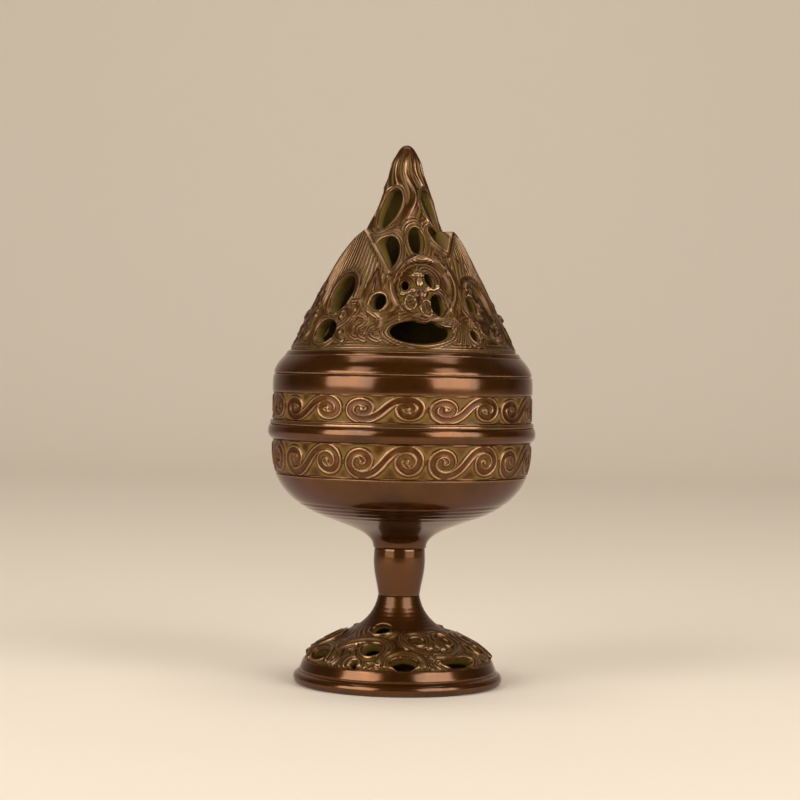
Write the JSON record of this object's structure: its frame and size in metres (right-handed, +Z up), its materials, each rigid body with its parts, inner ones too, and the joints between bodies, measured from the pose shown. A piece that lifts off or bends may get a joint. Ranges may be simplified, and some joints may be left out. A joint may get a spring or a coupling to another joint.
{
  "type": "hill censer",
  "caption": "Stemmed bronze incense burner: a round bowl with scroll bands on an openwork foot, under a lift-off lid cast as a pierced mountain that lets the smoke out.",
  "frame": {"origin": "middle of the foot ring, on the table", "axes": "+Z up along the vessel's axis, front towards -Y, +X to the right as seen from the front"},
  "size_m": [0.089, 0.089, 0.179],
  "materials": {
    "bronze_smooth": "dark brown patinated bronze, hand polished",
    "bronze_openwork": "brown cast bronze with olive patina in the recesses",
    "bronze_scroll": "brown relief on an olive ground",
    "steel_fixing": "plain bright steel"
  },
  "bodies": {
    "base": {"foot_ring": "bronze_smooth", "foot_dome": "bronze_openwork", "stem": "bronze_smooth", "bowl": "bronze_smooth", "lower_scrollwork": "bronze_scroll", "upper_scrollwork": "bronze_scroll", "tie_rod": "steel_fixing", "tie_washer": "steel_fixing", "tie_nut": "steel_fixing"},
    "lid": {"lid_rim": "bronze_smooth", "lid_hill": "bronze_openwork"}
  },
  "joints": [
    {"name": "lid_lift", "type": "slide", "parent": "base", "child": "lid", "axis": [0, 0, 1], "range_m": [0, 0.1]}
  ]
}
